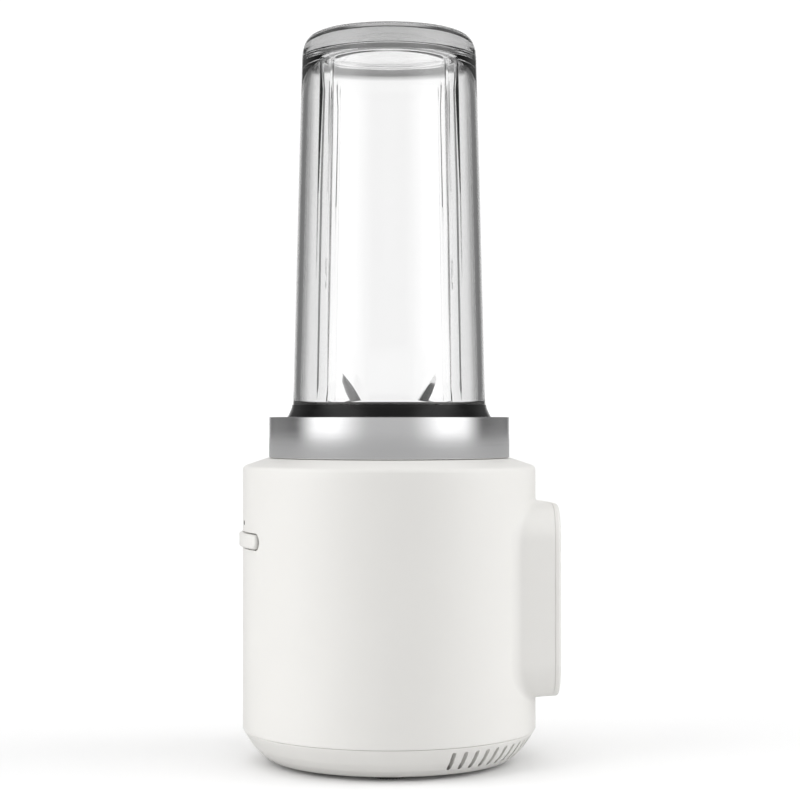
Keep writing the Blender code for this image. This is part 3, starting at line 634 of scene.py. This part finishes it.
def jar_seat():
    """The well that the blade unit drops into, with a hole for the interlock's plunger."""
    outline = filleted(
        [
            (52.7, 154.2, 0.2), (47.9, 154.2, 0.5), (47.9, 139.0, 1.2), (15.6, 139.0, 0.3),
            (15.6, 142.0, 0.5), (13.6, 142.0, 0.5), (13.6, 136.6, 0.3), (50.0, 136.6, 0.3),
            (50.0, 152.7, 0.2), (52.7, 152.7, 0.2),
        ], 4,
    )
    seat = finished("seat_well", lathe(outline, 144), GREY, "base", ["jar_seat"])
    plunger_ring_r = 44.8
    cut(seat, [disc(2.2, 130.0, 141.0, polar(plunger_ring_r, 0), 24)])


def power_button():
    """A pill that follows the housing's curve, with a rounded edge all round."""
    half, tall, edge, back_r = BUTTON_HALF_WIDTH, BUTTON_HALF_HEIGHT, 1.1, 61.6
    stations = [half * math.sin(math.pi / 2 * t) for t in np.linspace(-1, 1, 61)]
    loops = []
    for u in stations:
        past = max(0.0, abs(u) - (half - tall))
        height = max(0.05, math.sqrt(max(0.0, tall * tall - past * past)))
        drop = edge - math.sqrt(max(0.0, edge * edge - max(0.0, edge - (half - abs(u))) ** 2))
        top = BUTTON_FACE_R - drop
        round_by = min(edge, height)
        section = [(-height, back_r), (-height, top - round_by)]
        for k in range(1, 6):
            a = math.pi / 2 * k / 6
            section.append((-height + round_by * (1 - math.cos(a)), top - round_by * (1 - math.sin(a))))
        section.append((-height + round_by, top))
        section += [(-v, r) for v, r in reversed(section)]
        angle = -math.pi / 2 + u / BASE_R
        loops.append([(r * math.cos(angle), r * math.sin(angle), BUTTON_Z + v) for v, r in section])
    finished("button_pill", loft(loops), WHITE, "button", ["power_button"], 40.0)


def led():
    """The indicator: a short smoked rod with a domed face, lying in the front wall."""
    radius, length, dome, back_y = 1.1, 6.0, 0.35, -59.8
    face = [(radius * math.sin(a), length + dome * math.cos(a)) for a in np.linspace(0.2, 1.57, 6)]
    outline = [(0.0, 0.0), (0.0, length), *face, (radius, 0.0)]
    lens = lathe(outline, 32)
    bmesh.ops.rotate(lens, verts=lens.verts, cent=(0, 0, 0), matrix=Matrix.Rotation(math.pi / 2, 3, "X"))
    moved_by(lens, 0, back_y, LED_Z)
    finished("led_window", lens, LENS, "base", ["led_lens"])


# ---------------------------------------------------------------- battery

def split_level_runs(outline, parts=24):
    """The outline with its long level edges cut into parts, so that they can bend."""
    long_run = 20.0
    points = []
    for (u, v), (next_u, next_v) in zip(outline, outline[1:] + outline[:1]):
        pieces = parts if abs(next_u - u) > long_run else 1
        points += [(u + (next_u - u) * i / pieces, v + (next_v - v) * i / pieces) for i in range(pieces)]
    return points


def end_loops(outline, stations):
    """Loops of an outline laid on the boss's curved end: each station is (share, how far behind it)."""
    mid = (max(v for _, v in outline) + min(v for _, v in outline)) / 2
    return [
        [(u * share, boss_end_y(u * share) + back, mid + (v - mid) * share) for u, v in outline]
        for share, back in stations
    ]


def battery_cover():
    """The cap that closes the boss, curved like its end and rounded at the edge, and its plug."""
    edge = 1.5
    half, low, high = boss_section(66.0)
    outline = split_level_runs(rounded_rect(half, low, high, BOSS_CORNER_R, 12))
    stations = [(0.03, 0.3), (0.3, 0.3), (0.6, 0.3), (0.9, 0.3), (0.96, 0.1), (0.998, 0.1), (1.0, 0.2)]
    for a in np.linspace(0, math.pi / 2, 8):
        stations.append((1 - edge * (1 - math.cos(a)) / half, COVER_DEPTH - edge + edge * math.sin(a)))
    crown = ((0.9, 0.03), (0.7, 0.08), (0.5, 0.1), (0.25, 0.12), (0.03, 0.12))
    stations += [(share, COVER_DEPTH + rise) for share, rise in crown]
    cap = loft(end_loops(outline, stations))
    cover = finished("pack_cover", cap, WHITE, "battery", ["battery_cover"])
    plug = split_level_runs(bay_outline(0.5))
    loops = along_y(plug, [(COVER_Y, 0.1), (COVER_Y, 0.99), (COVER_Y + 0.4, 1.0)])
    loops += end_loops(plug, [(share, COVER_DEPTH / 2) for share in (1.0, 0.7, 0.4, 0.05)])
    cut(cover, [loft(loops)], "UNION")
    release = bar_along_y(rounded_rect(9.5, RELEASE_Z - 4.5, RELEASE_Z + 4.5, 4.4, 8), 60.0, 80.0)
    port = bar_along_y(rounded_rect(4.9, PORT_Z - 2.0, PORT_Z + 2.0, 1.9, 6), 60.0, 80.0)
    cut(cover, [release, port])


def release_button():
    """The battery's release key, dished and with three grip ridges."""
    outline = rounded_rect(8.9, RELEASE_Z - 3.9, RELEASE_Z + 3.9, 3.8, 8)
    stations = [
        (62.4, 1.0), (71.7, 1.0), (72.1, 0.985), (72.3, 0.95), (72.1, 0.88), (71.8, 0.6), (71.7, 0.1),
    ]
    key = finished(
        "release_key", loft(along_y(outline, stations)), GREY, "release", ["battery_release_button"],
    )
    ridges = [
        loft(along_y(rounded_rect(4.4, z - 0.35, z + 0.35, 0.33, 3), [(70.6, 1.0), (72.2, 0.96)]))
        for z in (RELEASE_Z - 1.6, RELEASE_Z, RELEASE_Z + 1.6)
    ]
    cut(key, ridges, "UNION")


# ---------------------------------------------------------------- jar and blades

def jar():
    """One closed vessel: a thick closed end above, four ribs inside and a flared skirt at the mouth."""
    outer = [
        (46.15, 143.2), (46.15, 152.4), (45.95, 153.5), (45.45, 154.6), (44.9, 155.6), (44.4, 156.7),
        (43.95, 157.7), (43.6, 158.8), (43.55, 160.2), (43.42, 162.2), (43.25, 168.0), (42.3, 207.4),
        (41.2, 252.7), (39.95, 297.9), (39.6, 310.0), (39.5, 315.0), (39.3, 318.4), (38.85, 320.8),
        (38.1, 322.8), (37.0, 324.5), (35.6, 325.8), (34.0, 326.5), (32.6, 326.6), (31.4, 326.3),
        (30.4, 325.5), (29.4, 324.4), (28.2, 323.5), (26.6, 323.1), (12.0, 322.7), (0.0, 322.6),
    ]
    inner = [
        (0.0, 316.3), (14.0, 316.35), (25.6, 316.5), (27.0, 316.8), (27.9, 317.5), (29.2, 317.9),
        (31.0, 317.6), (33.0, 316.5), (34.6, 314.8), (35.7, 312.4), (36.3, 309.5), (36.65, 305.0),
        (36.95, 297.9), (38.1, 252.7), (39.2, 207.4), (40.2, 168.0), (40.4, 161.6), (40.55, 160.7),
        (41.0, 160.3), (42.6, 160.2), (43.1, 160.0), (43.2, 159.4), (43.2, 143.2), (43.5, 142.9),
        (46.1, 142.9),
    ]
    apart = 360.0 / RIB_COUNT
    dense = 8.0
    angles = []
    for i in range(RIB_COUNT):
        centre = RIB_TURN + apart * i - 90
        offsets = spaced((-dense, dense, 0.25), (dense, apart - dense, 2.0))
        angles += [math.radians(centre + offset) for offset in offsets]

    def radius_at(a, r, z):
        """A rib stands in from the inner wall, flat-topped, and fades out below the closed end."""
        if not (163.0 < z < 309.6 and r < 40.5):
            return r
        degrees_off = abs((math.degrees(a) + 90 - RIB_TURN + apart / 2) % apart - apart / 2)
        off = math.radians(degrees_off) * r
        tall = RIB_HEIGHT * max(0.0, min(1.0, (306.0 - z) / 4.0))
        return r - tall * float(1 - smooth_step(2.6, 3.3, np.array(off)))

    vessel = lathe(outer + inner, radius_at=radius_at, angles=angles)
    finished("jar_vessel", vessel, CLEAR, "jar", ["jar"], 50.0)


def jar_foot_ring():
    """The black ring moulded over the jar's flared skirt."""
    thick, foot_z = 0.35, 149.5
    flare = [
        (46.6, 152.4), (46.35, 153.6), (45.85, 154.7), (45.3, 155.7), (44.8, 156.8), (44.35, 157.8),
        (44.0, 158.8),
    ]
    outline = [(46.6, foot_z), *flare, (43.9, 159.7), (43.82, 159.95), (43.62, 159.95)]
    outline += [(r - thick, z) for r, z in reversed(flare)] + [(46.6 - thick, foot_z)]
    finished("jar_foot_ring", lathe(outline, 144), BLACK, "jar")


def blade_base():
    """The black carrier that holds the blades and screws into the jar: a dished floor with a hub."""
    outline = filleted(
        [
            (46.2, 139.4, 0.3), (46.2, 142.4, 0.3), (42.4, 142.6, 0.2), (42.4, 159.0, 0.3),
            (40.1, 159.0, 0.1), (40.1, 159.7, 0.4), (38.4, 159.7, 0.5), (34.8, 154.8, 3.0),
            (30.0, 152.0, 3.0), (13.0, 151.0, 2.0), (9.6, 152.0, 0.8), (8.4, 155.9, 0.8),
            (4.4, 155.9, 0.2), (4.4, 143.6, 0.2), (8.0, 143.6, 0.4), (9.0, 147.4, 0.6),
            (30.0, 149.2, 0.6), (40.0, 149.2, 0.4), (40.0, 139.4, 0.3),
        ], 4,
    )
    finished("blade_carrier", lathe(outline, 144), BLACK, "blade_unit", ["blade_base"])


def blade_loop(d, top, lead, trail, ahead, bevel):
    """A blade's section: the leading edge is ground to a bevel, and runs ahead of the trailing edge."""
    front, back = Vector((d + ahead, lead)), Vector((d - ahead, -trail))
    across = (back - front).normalized()
    slope = min(bevel, (lead + trail) * 0.4)
    corners = (
        (front, -1.03), (front + across * (slope + 0.05), 0.0), (back - across * 0.1, 0.0), (back, -0.1),
        (back, -1.1), (back - across * 0.1, -1.2), (front + across * 0.05, -1.2),
    )
    return [(point.x, point.y, top + drop) for point, drop in corners]


def blade(name, stations, top_z, turn, node_name):
    """A two-armed blade. Its stations run from the hub out, as (distance, height, leading edge offset,
    trailing edge offset, how far the leading edge runs ahead)."""
    stations = np.array(stations, float)
    steps = np.linspace(0, len(stations) - 1, 5 * (len(stations) - 1) + 1)
    dense = [[np.interp(t, range(len(stations)), column) for column in stations.T] for t in steps]
    arm = []
    for d, height, lead, trail, ahead in dense:
        bevel = 1.7 * float(smooth_step(6.0, 9.0, np.array(d)))
        arm.append(blade_loop(d, top_z + height, lead, trail, ahead, bevel))
    half_turn = Matrix.Rotation(math.pi, 3, "Z")
    other = [[tuple(half_turn @ Vector(p)) for p in loop] for loop in arm]
    made = finished(name, turned_by(loft(arm), turn), STEEL, "blades", [node_name], 25.0)
    cut(made, [turned_by(loft(other), turn)], "UNION", 25.0)
    cut(made, [disc(6.6, top_z - 1.2, top_z, segments=48)], "UNION", 25.0)
    cut(made, [disc(3.3, top_z - 6, top_z + 6, segments=32)], sharp=25.0)


def blades():
    """The upper blade with raised arms, the lower one with drooped arms, and the spindle's head."""
    up = (
        (2.0, 0, 4.6, 4.6, 0), (7.0, 0, 4.8, 4.8, 0.6), (10.9, 0, 4.6, 4.6, 1.7), (12.0, 0.2, 4.6, 4.5, 1.9),
        (13.4, 0.9, 4.6, 4.4, 2.0), (15.2, 3.0, 4.3, 4.0, 2.2), (17.6, 6.8, 3.6, 3.2, 2.0),
        (19.8, 10.6, 2.4, 2.0, 1.3), (20.7, 12.6, 1.2, 1.0, 0.6), (21.1, 13.8, 0.4, 0.3, 0),
    )
    blade("blade_up", up, UPPER_BLADE_Z, UPPER_BLADE_TURN, "blade_upper")
    down = (
        (2.0, 0, 4.6, 4.6, 0), (7.4, 0, 4.8, 4.8, 0), (8.8, -0.3, 4.8, 4.8, 0), (10.2, -1.0, 4.8, 4.8, 0),
        (17.0, -3.6, 4.0, 3.9, 0), (21.0, -4.7, 2.0, 1.9, 0), (22.5, -5.0, 0.7, 0.6, 0),
    )
    blade("blade_down", down, LOWER_BLADE_Z, LOWER_BLADE_TURN, "blade_lower")
    outline = filleted(
        [
            (0.0, 142.0, 0), (3.0, 142.0, 0.2), (3.0, 160.7, 0), (5.2, 160.7, 0.2), (5.2, 161.4, 0.3),
            (3.9, 161.9, 0.6), (0.0, 162.1, 0),
        ], 3,
    )
    finished("spindle", lathe(outline, 48), STEEL, "blades", ["blade_spindle"])


# ---------------------------------------------------------------- stage, light and camera

# Brightness of the studio as mirrored and clear surfaces see it, by degrees round from the camera's side,
# which is 0 (positive is to its right): near the horizon, above it, and overhead.
SIDE_LEVELS = (
    (-180, 1.05), (-168, 1.05), (-156, 0.15), (-140, 0.24), (-115, 0.2), (-98, 0.1), (-88, 0.6), (-76, 1.45),
    (-52, 1.6), (-38, 1.1), (-22, 0.6), (22, 0.6), (38, 1.1), (52, 1.6), (76, 1.45), (88, 0.6), (98, 0.1),
    (115, 0.2), (140, 0.24), (156, 0.15), (168, 1.05), (180, 1.05),
)
MIDDLE_LEVELS = (
    (-180, 0.3), (-150, 0.1), (-112, 0.1), (-95, 0.5), (-76, 1.3), (-50, 1.3), (-30, 0.35), (30, 0.35),
    (50, 1.3), (76, 1.3), (95, 0.5), (112, 0.1), (150, 0.1), (180, 0.3),
)
TOP_LEVEL = 0.22
MIDDLE_RISE = (0.36, 0.5)  # each rise is the sines of the elevations where a level takes over
TOP_RISE = (0.78, 0.9)

# Its brightness as the light that matt surfaces gather.
SOFT_LEVELS = (
    (-180, 0.02), (-104, 0.02), (-88, 3.6), (-50, 3.6), (-34, 0.1), (50, 0.1), (66, 3.6), (100, 3.6),
    (114, 0.02), (180, 0.02),
)
SOFT_TOP_LEVEL = 1.4
SOFT_TOP_RISE = (0.5, 0.8)
BACKDROP_LEVEL = 1.1

FLOOR_SIZE = 12.0  # metres
FLOOR_TONE = 0.95  # as it is seen, directly or through the jar
FLOOR_BOUNCE = 0.86  # for the light it sends back up
FLOOR_MIRRORED = 0.42  # as polished surfaces show it


def level_ramp(tree, turn, levels):
    """Grey levels blended between these (degrees, level) stops, read at turn, which runs from 0 to 1."""
    ramp = node(tree, "ShaderNodeValToRGB")
    stops = ramp.color_ramp.elements
    stops[0].position, stops[1].position = 0.0, 1.0
    for degrees, _ in levels[1:-1]:
        stops.new(0.5 + degrees / 360)
    for stop, (_, level) in zip(stops, levels):
        stop.color = (level, level, level, 1)
    tree.links.new(turn, ramp.inputs["Fac"])
    return ramp.outputs["Color"]


def mixed(tree, share, first, second):
    """A blend of two colours, each a socket or a grey level."""
    blend = node(tree, "ShaderNodeMix", data_type="RGBA")
    tree.links.new(share, blend.inputs["Factor"])
    for socket, value in (("A", first), ("B", second)):
        if isinstance(value, float):
            blend.inputs[socket].default_value = (value, value, value, 1)
        else:
            tree.links.new(value, blend.inputs[socket])
    return blend.outputs["Result"]


def world_light():
    """A soft studio all round: bright panels to either side of the camera and darker flags further back."""
    world = bpy.data.worlds.new("studio")
    bpy.context.scene.world = world
    world.use_nodes = True
    tree = world.node_tree
    shader = tree.nodes["Background"]
    place = node(tree, "ShaderNodeTexCoord").outputs["Generated"]
    to_camera = (0, 0, math.radians(90 - CAMERA_TURN))
    spin = node(tree, "ShaderNodeMapping", {"Rotation": to_camera}, vector_type="POINT")
    tree.links.new(place, spin.inputs["Vector"])
    parts = node(tree, "ShaderNodeSeparateXYZ")
    tree.links.new(spin.outputs[0], parts.inputs[0])
    angle = node(tree, "ShaderNodeMath", operation="ARCTAN2")
    tree.links.new(parts.outputs["Y"], angle.inputs[0])
    tree.links.new(parts.outputs["X"], angle.inputs[1])
    turn = node(tree, "ShaderNodeMath", {1: 1 / (2 * math.pi), 2: 0.5}, operation="MULTIPLY_ADD")
    tree.links.new(angle.outputs[0], turn.inputs[0])
    sides, middle, soft = (
        level_ramp(tree, turn.outputs[0], levels) for levels in (SIDE_LEVELS, MIDDLE_LEVELS, SOFT_LEVELS)
    )
    seen = node(tree, "ShaderNodeLightPath")
    up = parts.outputs["Z"]
    raised = mixed(tree, ranged(tree, up, 0.0, 1.0, *MIDDLE_RISE), sides, middle)
    mirrored = mixed(tree, ranged(tree, up, 0.0, 1.0, *TOP_RISE), raised, TOP_LEVEL)
    gathered = mixed(tree, ranged(tree, up, 0.0, 1.0, *SOFT_TOP_RISE), soft, SOFT_TOP_LEVEL)
    either = mixed(tree, seen.outputs["Is Diffuse Ray"], mirrored, gathered)
    last = mixed(tree, seen.outputs["Is Camera Ray"], either, BACKDROP_LEVEL)
    tree.links.new(last, shader.inputs["Color"])
    shader.inputs["Strength"].default_value = 1.0


def floor():
    """A plain pale floor."""
    bm = bmesh.new()
    bmesh.ops.create_grid(bm, x_segments=1, y_segments=1, size=FLOOR_SIZE)
    mesh = bpy.data.meshes.new("floor")
    bm.to_mesh(mesh)
    bm.free()
    obj = bpy.data.objects.new("floor", mesh)
    bpy.context.scene.collection.objects.link(obj)
    pale = bpy.data.materials.new("floor")
    pale.use_nodes = True
    tree = pale.node_tree
    shader = tree.nodes["Principled BSDF"]
    seen = node(tree, "ShaderNodeLightPath")
    tone = mixed(tree, seen.outputs["Is Diffuse Ray"], FLOOR_TONE, FLOOR_BOUNCE)
    tone = mixed(tree, seen.outputs["Is Glossy Ray"], tone, FLOOR_MIRRORED)
    tone = mixed(tree, seen.outputs["Is Transmission Ray"], tone, FLOOR_TONE)
    tree.links.new(tone, shader.inputs["Base Color"])
    shader.inputs["Roughness"].default_value = 0.9
    shader.inputs["Specular IOR Level"].default_value = 0.1
    obj.data.materials.append(pale)


def camera():
    """The camera, turned round the jar's axis from the front and level."""
    data = bpy.data.cameras.new("camera")
    data.lens = CAMERA_LENS
    data.shift_x, data.shift_y = CAMERA_SHIFT
    obj = bpy.data.objects.new("camera", data)
    bpy.context.scene.collection.objects.link(obj)
    a = math.radians(CAMERA_TURN)
    obj.location = (CAMERA_DISTANCE * math.sin(a), -CAMERA_DISTANCE * math.cos(a), CAMERA_HEIGHT)
    obj.rotation_euler = (math.radians(90), 0, a)
    bpy.context.scene.camera = obj
    bpy.context.scene.view_settings.view_transform = "Standard"


finish_frame_nodes()
motor_housing()
bay_liner()
base_pan()
# Painted shade behind the vent slots, as a dark ring.
vent_painted_shade()
feet()
trim_band()
jar_seat()
power_button()
led()
battery_cover()
release_button()
jar()
jar_foot_ring()
blade_base()
blades()
world_light()
floor()
camera()
